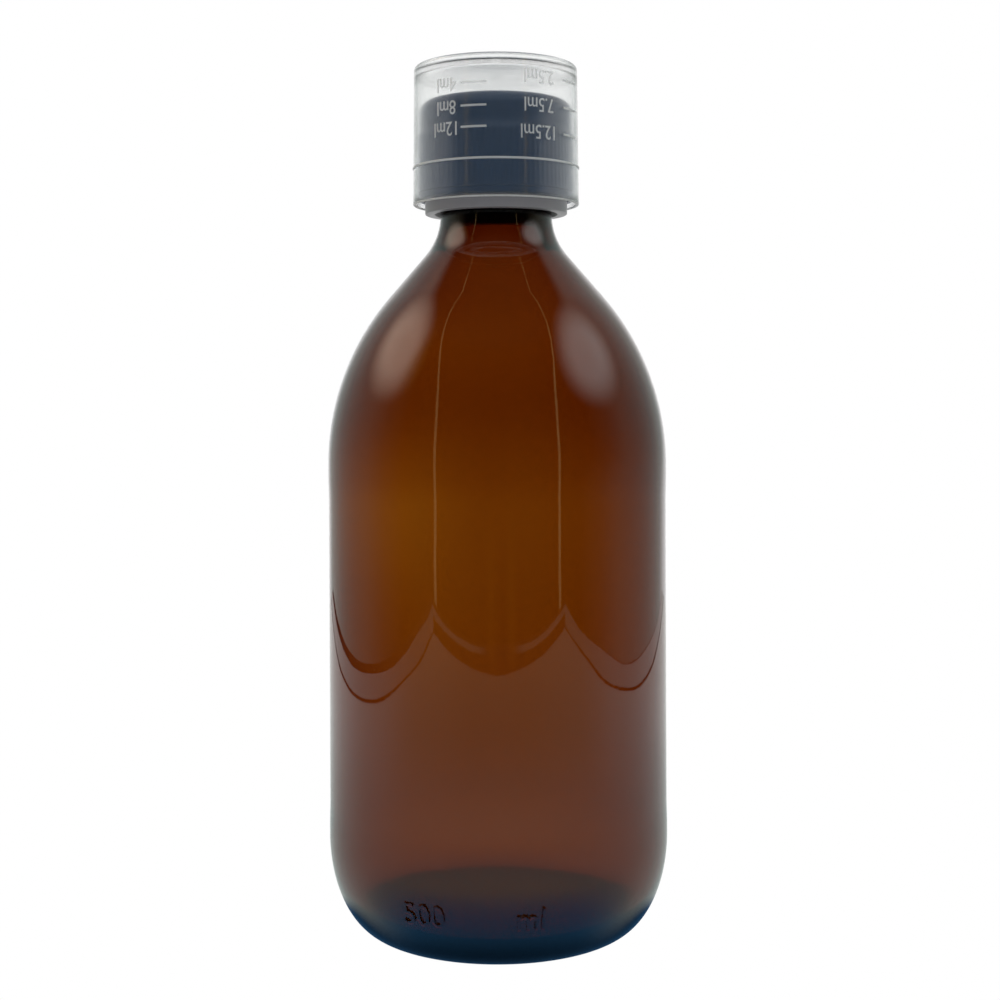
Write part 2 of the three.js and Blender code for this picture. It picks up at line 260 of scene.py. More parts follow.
# Painted shadows in front of the bottle and close to its foot
BLUE_SHADE = (0.10, 0.38, 0.78, 1)
BLUE_REACH = (0.080, 0.045)
BLUE_AROUND = (0.42, 0.18)
DEEP_SHADE = (0.025, 0.085, 0.18, 1)
DEEP_REACH = (0.041, 0.031)
DEEP_AROUND = (0.25, 0.50)
DEEP_GROWTH = -0.006
# Painted shade: the dark of the gap and of all that lies off the sheet and its rim
UNLIT = (0.03, 0.03, 0.03, 1)
# The painted shadow round the bottle's foot, which shows through the glass
FOOT_SHADOW_REACH = (0.028, 0.039)
FOOT_SHADOW_STOPS = [(0, 0.03, 0.03, 0.035), (1, 1, 1, 1)]
BEHIND_FOOT = (0.30, 0.55)
corners = [
    (sign * (OUTER_HALF_WIDTH - NARROWING * y), y, 0)
    for sign, y in ((-1, OUTER_FRONT), (1, OUTER_FRONT), (1, OUTER_BACK), (-1, OUTER_BACK))
]
floor_mesh = bpy.data.meshes.new("floor")
floor_mesh.from_pydata(corners, [], [(0, 1, 2, 3)])
floor = bpy.data.objects.new("floor", floor_mesh)
bpy.context.collection.objects.link(floor)
floor_material = bpy.data.materials.new("pale_sheet")
floor_material.use_nodes = True
tree = floor_material.node_tree
sheet = tree.nodes["Principled BSDF"]
sheet.inputs["Base Color"].default_value = SHEET_PALE
sheet.inputs["Roughness"].default_value = SHEET_ROUGHNESS
on_floor = tree.nodes.new("ShaderNodeTexCoord").outputs["Object"]
split = tree.nodes.new("ShaderNodeSeparateXYZ")
tree.links.new(on_floor, split.inputs["Vector"])
beside = reckon(tree, "ABSOLUTE", split.outputs["X"])
across = reckon(tree, "ABSOLUTE", reckon(tree, "SUBTRACT", split.outputs["X"], SHEET_SHIFT))
ahead = reckon(tree, "MULTIPLY", split.outputs["Y"], -1.0)
from_axis = span(tree, beside, ahead)
widened = reckon(tree, "MULTIPLY_ADD", split.outputs["Y"], NARROWING, across)
past_side = reckon(tree, "SUBTRACT", widened, SHEET_HALF_WIDTH)
past_front = reckon(tree, "ADD", ahead, SHEET_FRONT)
past_edge = reckon(tree, "MAXIMUM", past_side, past_front)
nearer_front = reckon(tree, "GREATER_THAN", past_front, past_side)
gap = reckon(tree, "MULTIPLY_ADD", nearer_front, FRONT_GAP - SIDE_GAP, SIDE_GAP)
on_sheet = rise(tree, past_edge, EDGE / 2, -EDGE / 2)
past_gap = rise(tree, reckon(tree, "SUBTRACT", past_edge, gap), -EDGE / 2, EDGE / 2)
on_painted_rim = reckon(tree, "MULTIPLY", past_gap, rise(tree, past_edge, RIM_END, RIM_END - EDGE))

# Painted reflection: the open front's middle is painted dark on the rim, where the camera stands
off_camera = reckon(tree, "MAXIMUM", rise(tree, across, *CAMERA_GAP), rise(tree, ahead, *CAMERA_DEPTH))
on_painted_rim = reckon(tree, "MULTIPLY", on_painted_rim, off_camera)

# The painted reflection that the glass mirrors, from the front (0) round to the back (1): the lit sheet,
# painted darker towards the front, a painted shade beside the foot, a painted bluish shade in front of the
# bottle and a painted deep shade close to its foot
about = reckon(tree, "DIVIDE", reckon(tree, "ARCTAN2", beside, ahead), math.pi)
painted_reflection = ramp(tree, about, PAINTED_REFLECTION_STOPS)
painted_reflection = mixed(tree, rise(tree, from_axis, *PAINTED_SHADE_BESIDE_FOOT_REACH), painted_reflection, PAINTED_SHADE_BESIDE_FOOT)
in_shade = reckon(tree, "MULTIPLY", rise(tree, from_axis, *BLUE_REACH), rise(tree, about, *BLUE_AROUND))
painted_reflection = mixed(tree, in_shade, painted_reflection, BLUE_SHADE)
to_shade = reckon(tree, "MULTIPLY_ADD", rise(tree, about, *DEEP_AROUND), DEEP_GROWTH, from_axis)
painted_reflection = mixed(tree, rise(tree, to_shade, *DEEP_REACH), painted_reflection, DEEP_SHADE)
lit = reckon(tree, "MAXIMUM", on_sheet, reckon(tree, "MULTIPLY", on_painted_rim, RIM_LIGHT))
painted_reflection = mixed(tree, lit, UNLIT, painted_reflection)

# Through the glass the sheet shows white behind the bottle, and a painted shadow where the bottle stands on
# it
through = ramp(tree, rise(tree, from_axis, *FOOT_SHADOW_REACH), FOOT_SHADOW_STOPS)
through = mixed(tree, rise(tree, about, *BEHIND_FOOT), painted_reflection, through)
rays = tree.nodes.new("ShaderNodeLightPath")
shown = mixed(tree, rays.outputs["Is Transmission Ray"], painted_reflection, through)
shown = mixed(tree, rays.outputs["Is Camera Ray"], shown, WHITE)
# The floor glows with this painted picture for every ray but diffuse ones, which meet the plain pale sheet
glow = tree.nodes.new("ShaderNodeEmission")
tree.links.new(shown, glow.inputs["Color"])
cover = tree.nodes.new("ShaderNodeMixShader")
tree.links.new(rays.outputs["Is Diffuse Ray"], cover.inputs["Fac"])
tree.links.new(glow.outputs["Emission"], cover.inputs[1])
tree.links.new(sheet.outputs["BSDF"], cover.inputs[2])
tree.links.new(cover.outputs["Shader"], tree.nodes["Material Output"].inputs["Surface"])
floor_mesh.materials.append(floor_material)

# Bottle. One piece of blown amber glass, with a quarter-ellipse heel, a shallow label panel, a round
# shoulder that runs into a cone, and a moulded finish. Its inside is a little uneven, as blown glass
# is, and the heel carries the plain volume and mould dots in relief.
MM = 0.001
BODY_RADIUS = 38.25
FOOT_RADIUS = 25.9
FOOT_RING = 3.4
PUSH_UP = 2.6
HEEL_HEIGHT = 22.3
PANEL_BOTTOM = 24.0
PANEL_TOP = 103.0
PANEL_DEPTH = 0.12
PANEL_STEP = 6
BODY_TOP = 105.3
SHOULDER_RADIUS = 57.8
SHOULDER_ANGLE = 0.71
BLEND_RADIUS = 14.55
NECK_RADIUS = 12.63
WALL = 2.5
FLOOR_HEIGHT = 6.0
INNER_FOOT_OUTSET = 2.6
BORE = 9.0
FINISH_HEIGHT = 20.1
BEAD_DEPTH = 1.57
BEAD_BELOW_LIP = 18
BEAD_FACE = 0.8
BEAD_CLEAR = 3
LIP_RADIUS = 0.9
THREAD_PITCH = 3.2
THREAD_TURNS = 1.5
THREAD_DEPTH = 1.07
THREAD_BELOW_LIP = 2.2
THREAD_FADE = 0.7
THREAD_HALF_ROOT = 0.9
THREAD_HALF_CREST = 0.45
QUARTER = math.pi / 2
GLASS_AROUND = 300
FRONT_CROWDING = 0.5
SHARP_EDGE = 35

shoulder_sin, shoulder_cos = math.sin(SHOULDER_ANGLE), math.cos(SHOULDER_ANGLE)
shoulder_top_radius = BODY_RADIUS - SHOULDER_RADIUS * (1 - shoulder_cos)
shoulder_top = BODY_TOP + SHOULDER_RADIUS * shoulder_sin
cone_length = (shoulder_top_radius - NECK_RADIUS - BLEND_RADIUS * (1 - shoulder_cos)) / shoulder_sin
neck_foot = shoulder_top + cone_length * shoulder_cos + BLEND_RADIUS * shoulder_sin
finish_top = neck_foot + FINISH_HEIGHT
bead_bottom = finish_top - BEAD_BELOW_LIP
thread_start = finish_top - THREAD_BELOW_LIP - THREAD_PITCH * THREAD_TURNS


def bow(centre, across, up, start, stop, steps):
    """Points centre + (across cos a, up sin a), for angles a in even steps from start to stop."""
    a = np.linspace(start, stop, steps + 1)
    return np.stack([centre[0] + across * np.cos(a), centre[1] + up * np.sin(a)], axis=1)


def line(start, stop, steps):
    """Points in even steps on the straight line from start to stop."""
    t = np.linspace(0, 1, steps + 1)[:, None]
    return (1 - t) * np.array([start]) + t * np.array([stop])


def joined(parts):
    """One section from its stretches, in millimetres, without the points that two of them share."""
    points = np.concatenate(parts)
    apart = np.linalg.norm(np.diff(points, axis=0), axis=1) > 1e-4
    return points[np.concatenate([[True], apart])]


def ease(t):
    """0 to 1, level at both ends: 3t^2 - 2t^3."""
    t = np.clip(t, 0, 1)
    return t * t * (3 - 2 * t)


def round_turn(around):
    """Even angles for one turn, as a row."""
    return np.arange(around)[None, :] * (2 * np.pi / around)


def revolved(name, section, turn, swell=0.0):
    """Turns a section of (radius, height) in mm about Z: the point at angle a stands at
    (r sin a, -r cos a, height), with r the section's radius plus the swell there, an array of one row
    for each point and one column for each angle. A section that ends on the axis closes at a pole,
    and any other closes on its own start."""
    radius = section[:, 0:1]
    around = turn.shape[1]
    on_axis = radius < 1e-6
    r = np.where(on_axis, 0, radius + swell + np.zeros_like(turn))
    grid = np.stack([r * np.sin(turn), -r * np.cos(turn), section[:, 1:2] + np.zeros_like(r)], axis=2)
    rows = len(section)
    ids = np.arange(rows * around).reshape(rows, around)
    ids = np.where(on_axis, ids[:, :1], ids)
    closed = not on_axis[0, 0]
    low = ids if closed else ids[:-1]
    high = np.roll(ids, -1, axis=0) if closed else ids[1:]
    quads = np.stack([low, np.roll(low, -1, 1), np.roll(high, -1, 1), high], axis=2).reshape(-1, 4)
    used, compact = np.unique(quads, return_inverse=True)
    faces = [list(dict.fromkeys(quad)) for quad in compact.reshape(-1, 4).tolist()]
    mesh = bpy.data.meshes.new(name)
    mesh.from_pydata((grid.reshape(-1, 3)[used] * MM).tolist(), [], faces)
    piece = bpy.data.objects.new(name, mesh)
    bpy.context.collection.objects.link(piece)
    return piece


def smooth(piece, sharp_degrees):
    """Shades the piece smooth, with edges sharper than the angle kept crisp."""
    piece.data.shade_smooth()
    piece.data.set_sharp_from_angle(angle=math.radians(sharp_degrees))


def helix_ridge(turn, height, start, turns, half_root, half_crest):
    """How far up a helical ridge each point lies, 0 to 1. The ridge's middle starts at the start height
    over +X and climbs one pitch for each turn, and it fades in and out over its first and last stretch."""
    angle = (turn - QUARTER) % (2 * np.pi)
    ridge = np.zeros(np.broadcast(turn, height).shape)
    for lap in range(math.ceil(turns)):
        along = angle + 2 * np.pi * lap
        off = np.abs(height - start - THREAD_PITCH * along / (2 * np.pi))
        ends = ease(along / THREAD_FADE) * ease((2 * np.pi * turns - along) / THREAD_FADE)
        ridge = np.maximum(ridge, ease((half_root - off) / (half_root - half_crest)) * ends)
    return ridge


def glass_outside():
    """The outline up the outside, from the middle of the base to the middle of the lip."""
    foot_inner = FOOT_RADIUS - FOOT_RING
    t = np.linspace(0, 1, 14)[:, None]
    base = np.concatenate([foot_inner * t, PUSH_UP * (1 - t**2)], axis=1)
    ring = line((foot_inner, 0), (FOOT_RADIUS, 0), 3)
    heel = bow((FOOT_RADIUS, HEEL_HEIGHT), BODY_RADIUS - FOOT_RADIUS, HEEL_HEIGHT, -QUARTER, 0, 34)
    t = np.linspace(0, 1, 7)[:, None]
    step_in = np.concatenate([BODY_RADIUS - PANEL_DEPTH * ease(t), PANEL_BOTTOM + PANEL_STEP * t], axis=1)
    step_out = np.concatenate([step_in[::-1, :1], PANEL_BOTTOM + PANEL_TOP - step_in[::-1, 1:]], axis=1)
    panel = line(tuple(step_in[-1]), tuple(step_out[0]), 22)
    middle = (BODY_RADIUS - SHOULDER_RADIUS, BODY_TOP)
    shoulder = bow(middle, SHOULDER_RADIUS, SHOULDER_RADIUS, 0, SHOULDER_ANGLE, 24)
    blend = bow((NECK_RADIUS + BLEND_RADIUS, neck_foot), BLEND_RADIUS, BLEND_RADIUS,
                math.pi + SHOULDER_ANGLE, math.pi, 14)
    bead_radius = NECK_RADIUS + BEAD_DEPTH
    bead_top = bead_bottom + BEAD_FACE + BEAD_DEPTH
    edge = BEAD_FACE / 2
    bead = [
        line((NECK_RADIUS, bead_bottom), (bead_radius - edge, bead_bottom), 2),
        bow((bead_radius - edge, bead_bottom + edge), edge, edge, -QUARTER, 0, 4),
        line((bead_radius, bead_bottom + BEAD_FACE), (NECK_RADIUS, bead_top), 4),
    ]
    neck = line((NECK_RADIUS, bead_top), (NECK_RADIUS, finish_top - LIP_RADIUS), 40)
    lip = bow((NECK_RADIUS - LIP_RADIUS, finish_top - LIP_RADIUS), LIP_RADIUS, LIP_RADIUS, 0, QUARTER, 6)
    return joined([base, ring, heel, step_in, panel, step_out, shoulder, blend, *bead, neck, lip])


def glass_inside():
    """The outline down the inside, from the mouth's rounding to the middle of the floor."""
    mouth = bow((BORE + LIP_RADIUS, finish_top - LIP_RADIUS), LIP_RADIUS, LIP_RADIUS, QUARTER, math.pi, 6)
    blend = BLEND_RADIUS + WALL
    top_radius = shoulder_top_radius - WALL * shoulder_cos
    cone = (top_radius - BORE - blend * (1 - shoulder_cos)) / shoulder_sin
    bore_foot = shoulder_top - WALL * shoulder_sin + cone * shoulder_cos + blend * shoulder_sin
    bore = bow((BORE + blend, bore_foot), blend, blend, math.pi, math.pi + SHOULDER_ANGLE, 12)
    middle = (BODY_RADIUS - SHOULDER_RADIUS, BODY_TOP)
    arc = bow(middle, SHOULDER_RADIUS - WALL, SHOULDER_RADIUS - WALL, SHOULDER_ANGLE, 0, 20)
    inner_radius = BODY_RADIUS - WALL
    wall = line((inner_radius, BODY_TOP), (inner_radius, HEEL_HEIGHT), 22)
    inner_foot = FOOT_RADIUS + INNER_FOOT_OUTSET
    heel_drop = HEEL_HEIGHT - FLOOR_HEIGHT
    heel = bow((inner_foot, HEEL_HEIGHT), inner_radius - inner_foot, heel_drop, 0, -QUARTER, 22)
    floor_line = line((inner_foot, FLOOR_HEIGHT), (0, FLOOR_HEIGHT), 8)
    return joined([mouth, bore, arc, wall, heel, floor_line])


# The inner wall's bands, each as (how far out in mm, middle height, spread), and the ribs down its front,
# each as (middle angle, how far out)
THIN_BAND = (0.06, 86, 16)
THICK_BAND = (-0.30, 119, 11)
LEFT_BAND = (0.32, 98, 20)
LEFT_THINNING = 0.16
LEFT_SPREAD = 0.65
LOW_THICKENING = 0.25
NECK_THICKENING = 0.25
FRONT_RIBS = ((-0.03, 0.14), (0.035, -0.10), (0.085, 0.16), (0.13, -0.08))
RIB_SPREAD = 0.016


def bell(value, rise_to, middle, spread):
    """A smooth hump: rise_to * exp(-((value - middle) / spread)^2)."""
    return rise_to * np.exp(-(((value - middle) / spread) ** 2))


def wall_drift(turn, height):
    """How far the inner wall lies outside its true radius, in mm: the sum of its bands, which thin it at
    three quarters of the body's height and towards the left, and thicken it at the shoulder's foot, low
    down and in the neck. Two waves, A cos(n turn + height / pitch), wind round it, and narrow ribs run
    down its front. All but the neck's band die out at the base and in the neck."""
    thin = bell(height, *THIN_BAND) + bell(height, *THICK_BAND)
    thin = thin - LOW_THICKENING * ease((66 - height) / 30)
    left = ease(-np.sin(turn) / LEFT_SPREAD) * (LEFT_THINNING + bell(height, *LEFT_BAND))
    waves = 0.05 * np.cos(2 * turn + height / 17) + 0.03 * np.cos(3 * turn - height / 11 + 1.3)
    within_body = ease((height - 14) / 20) * ease((142 - height) / 12)
    away = (turn + np.pi) % (2 * np.pi) - np.pi
    ribs = sum(bell(away, depth, middle, RIB_SPREAD) for middle, depth in FRONT_RIBS)
    down_front = ease((104 - height) / 25) * ease((height - 58) / 12)
    neck = -NECK_THICKENING * ease((height - 136) / 26)
    return (thin + left + waves) * within_body + ribs * down_front + neck


outside, inside = glass_outside(), glass_inside()
even = round_turn(GLASS_AROUND)
turn = even - FRONT_CROWDING * np.sin(even)
outer_height = outside[:, 1:2]
ridge = helix_ridge(turn, outer_height, thread_start, THREAD_TURNS, THREAD_HALF_ROOT, THREAD_HALF_CREST)
swell_out = THREAD_DEPTH * ridge * (outer_height > bead_bottom + BEAD_CLEAR)
swell_in = wall_drift(turn, inside[:, 1:2])
bottle = revolved("bottle_glass", joined([outside, inside]), turn, np.concatenate([swell_out, swell_in]))


WORD_SPACE = 0.8
LETTER_STEPS = 3
LETTER_WELD = 1e-4


def bent_text(words, size, depth, place):
    """Letters as one closed mesh. place takes flat points (x along, y up, z out from -depth to depth), in
    mm, and gives their places on the piece."""
    curve = bpy.data.curves.new(words, "FONT")
    curve.body = words
    curve.size = size
    curve.extrude = depth
    curve.space_word = WORD_SPACE
    curve.align_x = "CENTER"
    curve.align_y = "CENTER"
    curve.resolution_u = LETTER_STEPS
    holder = bpy.data.objects.new(words, curve)
    bpy.context.collection.objects.link(holder)
    bpy.context.view_layer.update()
    mesh = bpy.data.meshes.new_from_object(holder.evaluated_get(bpy.context.evaluated_depsgraph_get()))
    bpy.data.objects.remove(holder)
    letters = bmesh.new()
    letters.from_mesh(mesh)
    bmesh.ops.remove_doubles(letters, verts=letters.verts, dist=LETTER_WELD)
    bmesh.ops.triangulate(letters, faces=letters.faces)
    letters.to_mesh(mesh)
    letters.free()
    flat = np.empty(len(mesh.vertices) * 3, dtype=np.float32)
    mesh.vertices.foreach_get("co", flat)
    mesh.vertices.foreach_set("co", (place(flat.reshape(-1, 3)) * MM).astype(np.float32).ravel())
    return mesh


def dome(width, depth, place, steps=8):
    """A small closed button: the half ball (w cos u cos v, w cos u sin v, depth sin u) in rings, with w half
    the width, and a flat back as deep behind it."""
    lift = np.linspace(0, QUARTER, 4)[None, :, None]
    spin = np.linspace(0, 2 * np.pi, steps, endpoint=False)[None, None, :]
    reach = width / 2 * np.cos(lift)
    rings = np.stack(np.broadcast_arrays(
        reach * np.cos(spin), reach * np.sin(spin), depth * np.sin(lift)), axis=3)[0]
    rings = np.concatenate([rings[:1] - [0, 0, depth], rings[:3]]).reshape(-1, 3)
    points = np.concatenate([rings, [[0, 0, depth], [0, 0, -depth]]])
    ids = np.arange(4 * steps).reshape(4, steps)
    nxt = np.roll(ids, -1, axis=1)
    faces = np.stack([ids[:-1], nxt[:-1], nxt[1:], ids[1:]], axis=2).reshape(-1, 4).tolist()
    faces += [[a, b, 4 * steps] for a, b in zip(ids[3], nxt[3])]
    faces += [[b, a, 4 * steps + 1] for a, b in zip(ids[0], nxt[0])]
    mesh = bpy.data.meshes.new("dome")
    mesh.from_pydata((place(points) * MM).tolist(), [], [[int(i) for i in face] for face in faces])
    return mesh


def on_heel(middle_angle, middle_height):
    """Lays flat points on the heel: x runs round it, y climbs the ellipse and z stands out of it."""

    def place(flat):
        height = middle_height + flat[:, 1]
        tilt = np.arccos(np.clip((HEEL_HEIGHT - height) / HEEL_HEIGHT, -1, 1))
        width = BODY_RADIUS - FOOT_RADIUS
        radius = FOOT_RADIUS + width * np.sin(tilt)
        out = np.stack([HEEL_HEIGHT * np.sin(tilt), -width * np.cos(tilt)], axis=1)
        out /= np.linalg.norm(out, axis=1)[:, None]
        r = radius + flat[:, 2] * out[:, 0]
        angle = middle_angle + flat[:, 0] / BODY_RADIUS
        return np.stack([r * np.sin(angle), -r * np.cos(angle), height + flat[:, 2] * out[:, 1]], axis=1)

    return place


def united(piece, meshes):
    """Joins closed meshes to the piece as one skin."""
    for mesh in meshes:
        extra = bpy.data.objects.new("relief", mesh)
        bpy.context.collection.objects.link(extra)
        union = piece.modifiers.new("relief", "BOOLEAN")
        union.operation = "UNION"
        union.solver = "MANIFOLD"
        union.object = extra
        bpy.context.view_layer.update()
        evaluated = piece.evaluated_get(bpy.context.evaluated_depsgraph_get())
        whole = bpy.data.meshes.new_from_object(evaluated)
        piece.modifiers.clear()
        piece.data = whole
        bpy.data.objects.remove(extra)


VOLUME_SIZE = 6.8
VOLUME_HEIGHT = 12.3
VOLUME_WORDS = (("500", 0.36, math.radians(-25)), ("ml", 0.55, math.radians(10.5)))
DOT_WIDTH = 1.0
DOT_DEPTH = 0.45
DOT_HEIGHT = 29.3
DOT_DEGREES = (-25, -20.5, 14, 17.3, 20.6, 24)
words = [
    bent_text(word, VOLUME_SIZE, depth, on_heel(angle, VOLUME_HEIGHT)) for word, depth, angle in VOLUME_WORDS
]
dots = [dome(DOT_WIDTH, DOT_DEPTH, on_heel(math.radians(degrees), DOT_HEIGHT)) for degrees in DOT_DEGREES]
united(bottle, words + dots)


def node_material(name):
    """A new material, with its node tree, its shader and its output."""
    material = bpy.data.materials.new(name)
    material.use_nodes = True
    nodes = material.node_tree.nodes
    return material, material.node_tree, nodes["Principled BSDF"], nodes["Material Output"]


def noise(tree, vector, scale, detail):
    """A noise value between 0 and 1, with features of 1 / scale metres."""
    node = tree.nodes.new("ShaderNodeTexNoise")
    for name, value in (("Vector", vector), ("Scale", scale), ("Detail", detail)):
        feed(tree, value, node.inputs[name])
    return node.outputs["Fac"]


def bumped(tree, height, distance, strength, below=None):
    """The normal of a surface raised by the height times the distance, in metres."""
    node = tree.nodes.new("ShaderNodeBump")
    for name, value in (("Height", height), ("Distance", distance), ("Strength", strength)):
        feed(tree, value, node.inputs[name])
    if below is not None:
        tree.links.new(below, node.inputs["Normal"])
    return node.outputs["Normal"]


def effect_group(name, inputs, outputs):
    """A new node group with those sockets, as (name, kind), and with its own inputs and outputs inside."""
    group = bpy.data.node_groups.new(name, "ShaderNodeTree")
    for direction, sockets in (("INPUT", inputs), ("OUTPUT", outputs)):
        for socket_name, kind in sockets:
            group.interface.new_socket(socket_name, in_out=direction, socket_type="NodeSocket" + kind)
    return group, group.nodes.new("NodeGroupInput").outputs, group.nodes.new("NodeGroupOutput").inputs


def placed(tree, group, values):
    """Places a group in a material, gives its inputs their values and reads Object coordinates into its
    Place. Returns its outputs."""
    node = tree.nodes.new("ShaderNodeGroup")
    node.node_tree = group
    feed(tree, tree.nodes.new("ShaderNodeTexCoord").outputs["Object"], node.inputs["Place"])
    for name, value in values.items():
        feed(tree, value, node.inputs[name])
    return node.outputs


# The skin of blown glass and of clear mouldings: a slow swell with a fine ripple over it
RIPPLE_DEPTH = 0.00002
flowed_skin, given, gives = effect_group(
    "flowed_skin",
    [("Place", "Vector"), ("Swell Scale", "Float"), ("Swell Depth", "Float"), ("Swell Strength", "Float"),
     ("Ripple Scale", "Float"), ("Ripple Strength", "Float")],
    [("Normal", "Vector")],
)
swell = noise(flowed_skin, given["Place"], given["Swell Scale"], 1)
swell = bumped(flowed_skin, swell, given["Swell Depth"], given["Swell Strength"])
ripple = noise(flowed_skin, given["Place"], given["Ripple Scale"], 2)
feed(flowed_skin, bumped(flowed_skin, ripple, RIPPLE_DEPTH, given["Ripple Strength"], swell), gives["Normal"])

AMBER = (0.79, 0.627, 0.225, 1)
AMBER_DENSITY = 2000
GLASS_ROUGHNESS = 0.015
GLASS_IOR = 1.5
amber, tree, shader, output = node_material("amber_glass")
shader.inputs["Base Color"].default_value = WHITE
shader.inputs["Roughness"].default_value = GLASS_ROUGHNESS
shader.inputs["IOR"].default_value = GLASS_IOR
shader.inputs["Transmission Weight"].default_value = 1.0
absorption = tree.nodes.new("ShaderNodeVolumeAbsorption")
absorption.inputs["Color"].default_value = AMBER
absorption.inputs["Density"].default_value = AMBER_DENSITY
tree.links.new(absorption.outputs["Volume"], output.inputs["Volume"])
skin = placed(tree, flowed_skin, {
    "Swell Scale": 60, "Swell Depth": 0.0004, "Swell Strength": 0.12,
    "Ripple Scale": 300, "Ripple Strength": 0.08,
})
tree.links.new(skin["Normal"], shader.inputs["Normal"])
bottle.data.materials.clear()
bottle.data.materials.append(amber)
smooth(bottle, SHARP_EDGE)
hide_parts("bottle")
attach(bottle, "bottle")

# Tamper ring. A moulded band of dark grey plastic that stays on the neck. Its hook sits under the glass
# bead, and on its top stand the stubs of the bridges that tore from the closure.
RING_INNER = 14.6
RING_OUTER = 16.1
RING_BELOW_BEAD = 2.2
RING_BOTTOM = bead_bottom - RING_BELOW_BEAD
RING_HEIGHT = 4.5
HOOK_HEIGHT = 1.8
HOOK_CLEARANCE = 0.6
HOOK_RADIUS = NECK_RADIUS + HOOK_CLEARANCE
RING_EDGE = 0.25
BRIDGES = 12
BRIDGE_RADIUS = 15.35
BRIDGE_SIZE = (1.1, 0.7, 0.6)
GREY = (0.28, 0.28, 0.31)
CLOSURE_AROUND = 180


def corner(x, z, edge, start):
    """A rounded corner whose square tip is (x, z): a quarter bow that starts at the angle start."""
    middle = start + QUARTER / 2
    inward = -edge * math.copysign(1, math.cos(middle))
    down = -edge * math.copysign(1, math.sin(middle))
    return bow((x + inward, z + down), edge, edge, start, start + QUARTER, 3)


ring_top = RING_BOTTOM + RING_HEIGHT
ring = revolved(
    "tamper_ring_grey",
    joined([
        corner(RING_OUTER, RING_BOTTOM, RING_EDGE, -QUARTER),
        corner(RING_OUTER, ring_top, RING_EDGE, 0),
        corner(RING_INNER, ring_top, RING_EDGE, QUARTER),
        [(RING_INNER, RING_BOTTOM + HOOK_HEIGHT), (HOOK_RADIUS, RING_BOTTOM + HOOK_HEIGHT)],
        [((HOOK_RADIUS + RING_INNER) / 2, RING_BOTTOM)],
    ]),
    round_turn(CLOSURE_AROUND),
)


def block(size, place):
    """A closed box of that size in mm, x across, y through and z up, centred on the flat origin of place."""
    sides = np.array([(x, y, z) for z in (-0.5, 0.5) for y in (-0.5, 0.5) for x in (-0.5, 0.5)]) * size
    faces = [(0, 2, 3, 1), (4, 5, 7, 6), (0, 1, 5, 4), (2, 6, 7, 3), (0, 4, 6, 2), (1, 3, 7, 5)]
    mesh = bpy.data.meshes.new("block")
    mesh.from_pydata((place(sides) * MM).tolist(), [], faces)
    return mesh


def upright(radius, angle, height):
    """Lays flat points on a cylinder: x runs round it, y points in towards its axis and z climbs."""

    def place(flat):
        r = radius - flat[:, 1]
        a = angle + flat[:, 0] / radius
        return np.stack([r * np.sin(a), -r * np.cos(a), height + flat[:, 2]], axis=1)

    return place


united(ring, [
    block(BRIDGE_SIZE, upright(BRIDGE_RADIUS, QUARTER + 2 * math.pi * i / BRIDGES, ring_top))
    for i in range(BRIDGES)
])

# The skin of satin mouldings: a slow cloud in the colour, a fine grain in the gloss and a faint orange peel
CLOUD_SCALE = 90
GRAIN_SCALE = 1400
PEEL_SCALE = 900
CLOUD_SPREAD = 0.12
GRAIN_SPREAD = 0.12
PEEL_STRENGTH = 0.5
SATIN_PEEL = 0.00002
satin_skin, given, gives = effect_group(
    "satin_skin",
    [("Place", "Vector"), ("Darker", "Color"), ("Lighter", "Color"), ("Smoothest", "Float"),
     ("Peel Depth", "Float")],
    [("Colour", "Color"), ("Roughness", "Float"), ("Normal", "Vector")],
)
cloud = noise(satin_skin, given["Place"], CLOUD_SCALE, 2)
feed(satin_skin, mixed(satin_skin, cloud, given["Darker"], given["Lighter"]), gives["Colour"])
grain = noise(satin_skin, given["Place"], GRAIN_SCALE, 3)
gloss = reckon(satin_skin, "MULTIPLY_ADD", grain, GRAIN_SPREAD, given["Smoothest"])
feed(satin_skin, gloss, gives["Roughness"])
peel = noise(satin_skin, given["Place"], PEEL_SCALE, 2)
feed(satin_skin, bumped(satin_skin, peel, given["Peel Depth"], PEEL_STRENGTH), gives["Normal"])


def moulded(name, colour, roughness, peel_depth):
    """Satin moulded plastic, clouded as far below the colour as above it."""
    material, tree, shader, output = node_material(name)
    skin = placed(tree, satin_skin, {
        "Darker": (*((1 - CLOUD_SPREAD) * channel for channel in colour), 1),
        "Lighter": (*((1 + CLOUD_SPREAD) * channel for channel in colour), 1),
        "Smoothest": roughness - GRAIN_SPREAD / 2,
        "Peel Depth": peel_depth,
    })
    for given_by, socket in (("Colour", "Base Color"), ("Roughness", "Roughness"), ("Normal", "Normal")):
        feed(tree, skin[given_by], shader.inputs[socket])
    return material


ring.data.materials.clear()
ring.data.materials.append(moulded("grey_plastic", GREY, 0.38, SATIN_PEEL))
smooth(ring, SHARP_EDGE)
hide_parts("tamper_ring")
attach(ring, "bottle")

# Liner. The foam wad that seals the mouth, hidden between the lip and the inner cap's ceiling.
FOAM_WHITE = (0.80, 0.80, 0.78)
FOAM_PEEL = 0.00006
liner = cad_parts["liner"]
liner.data.materials.clear()
liner.data.materials.append(moulded("liner_foam", FOAM_WHITE, 0.75, FOAM_PEEL))

# Inner cap. The threaded shell that screws on the glass, moulded in slate plastic. It is hidden by the
# outer shell, whose dogs drive the lugs on its crown.
SLATE = (0.036, 0.052, 0.072)
inner_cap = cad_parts["inner_cap"]
inner_cap.data.materials.clear()
inner_cap.data.materials.append(moulded("inner_plastic", SLATE, 0.42, SATIN_PEEL))

